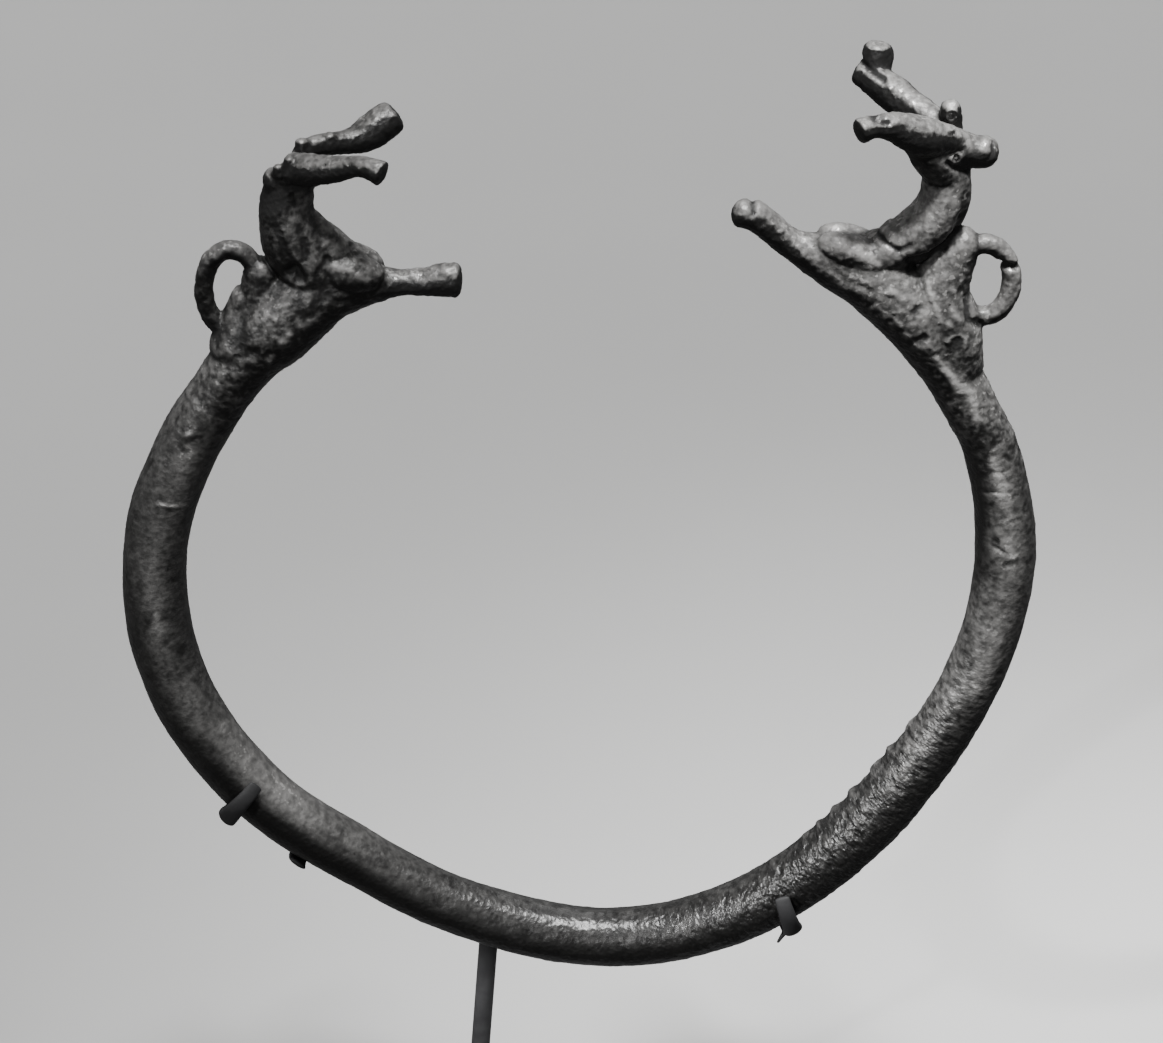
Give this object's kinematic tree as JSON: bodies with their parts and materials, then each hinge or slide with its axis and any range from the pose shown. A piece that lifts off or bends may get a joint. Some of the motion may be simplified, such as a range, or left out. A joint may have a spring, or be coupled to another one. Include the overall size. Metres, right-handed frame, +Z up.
{
  "type": "bracelet",
  "caption": "Open cast bronze bracelet whose ends are lying horned beasts facing over the gap, upright in a bent-wire cradle on a rod and a plain foot.",
  "frame": {"origin": "centre of the foot's underside, below the middle of the ring", "axes": "+Z up, +X to the right and +Y away from a viewer who faces the side that the heads are carved for"},
  "size_m": [0.0719, 0.03, 0.1092],
  "materials": {
    "corroded_bronze": "dark, pitted and mottled corroded bronze with a dull sheen",
    "grey_paint": "smooth matt grey paint"
  },
  "bodies": {
    "root": {"bracelet": "corroded_bronze", "cradle": "grey_paint", "foot": "grey_paint"}
  },
  "joints": []
}
